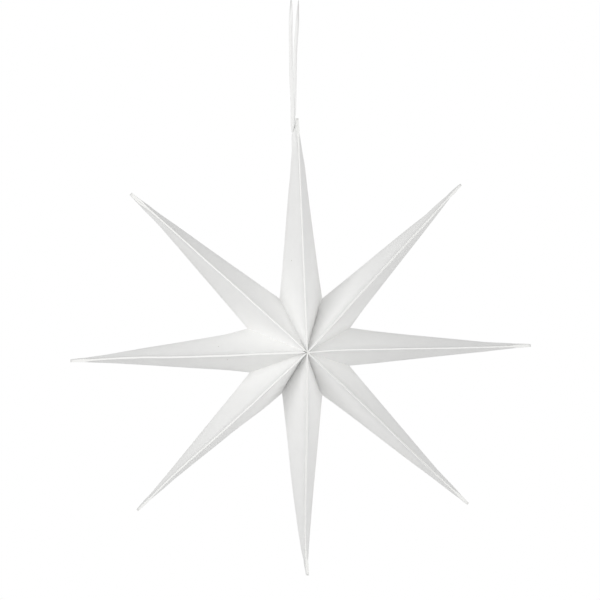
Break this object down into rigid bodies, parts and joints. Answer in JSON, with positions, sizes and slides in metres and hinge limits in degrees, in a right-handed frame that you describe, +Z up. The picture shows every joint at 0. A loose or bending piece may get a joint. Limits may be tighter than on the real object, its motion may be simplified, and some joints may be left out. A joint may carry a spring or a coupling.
{
  "type": "hanging paper star",
  "caption": "White paper star with long folded points and raised ridge seams, hung by its top point on a doubled ribbon loop, on which it turns and nods freely.",
  "frame": {"origin": "the top of the hook, inside the bight of the ribbon loop, plumb above the star's hub", "axes": "+Z up, +Y from the front of the star to its back along the hub axis, +X to the right seen from the front"},
  "size_m": [0.4499, 0.1214, 0.5824],
  "materials": {
    "card": "matt, uncoated",
    "ribbon": "satin weave",
    "tape": "tissue tape with adhesive"
  },
  "bodies": {
    "hanger": {"ribbon_loop": "ribbon"},
    "hitch": {"ribbon_tail": "ribbon", "ribbon_knot": "ribbon"},
    "star": {"right_point_left_sheet": "card", "right_point_right_sheet": "card", "upper_right_point_left_sheet": "card", "upper_right_point_right_sheet": "card", "top_point_left_sheet": "card", "top_point_right_sheet": "card", "upper_left_point_left_sheet": "card", "upper_left_point_right_sheet": "card", "left_point_left_sheet": "card", "left_point_right_sheet": "card", "lower_left_point_left_sheet": "card", "lower_left_point_right_sheet": "card", "bottom_point_left_sheet": "card", "bottom_point_right_sheet": "card", "lower_right_point_left_sheet": "card", "lower_right_point_right_sheet": "card", "closing_tape": "tape"}
  },
  "joints": [
    {"name": "star_spin", "type": "hinge", "parent": "hanger", "child": "hitch", "pos_m": [-0.00238, 0, -0.126], "axis": [0, 0, 1], "continuous": true},
    {"name": "star_nod", "type": "hinge", "parent": "hitch", "child": "star", "pos_m": [-0.00185, 0, -0.145], "axis": [1, 0, 0], "range_deg": [-25, 25]}
  ]
}
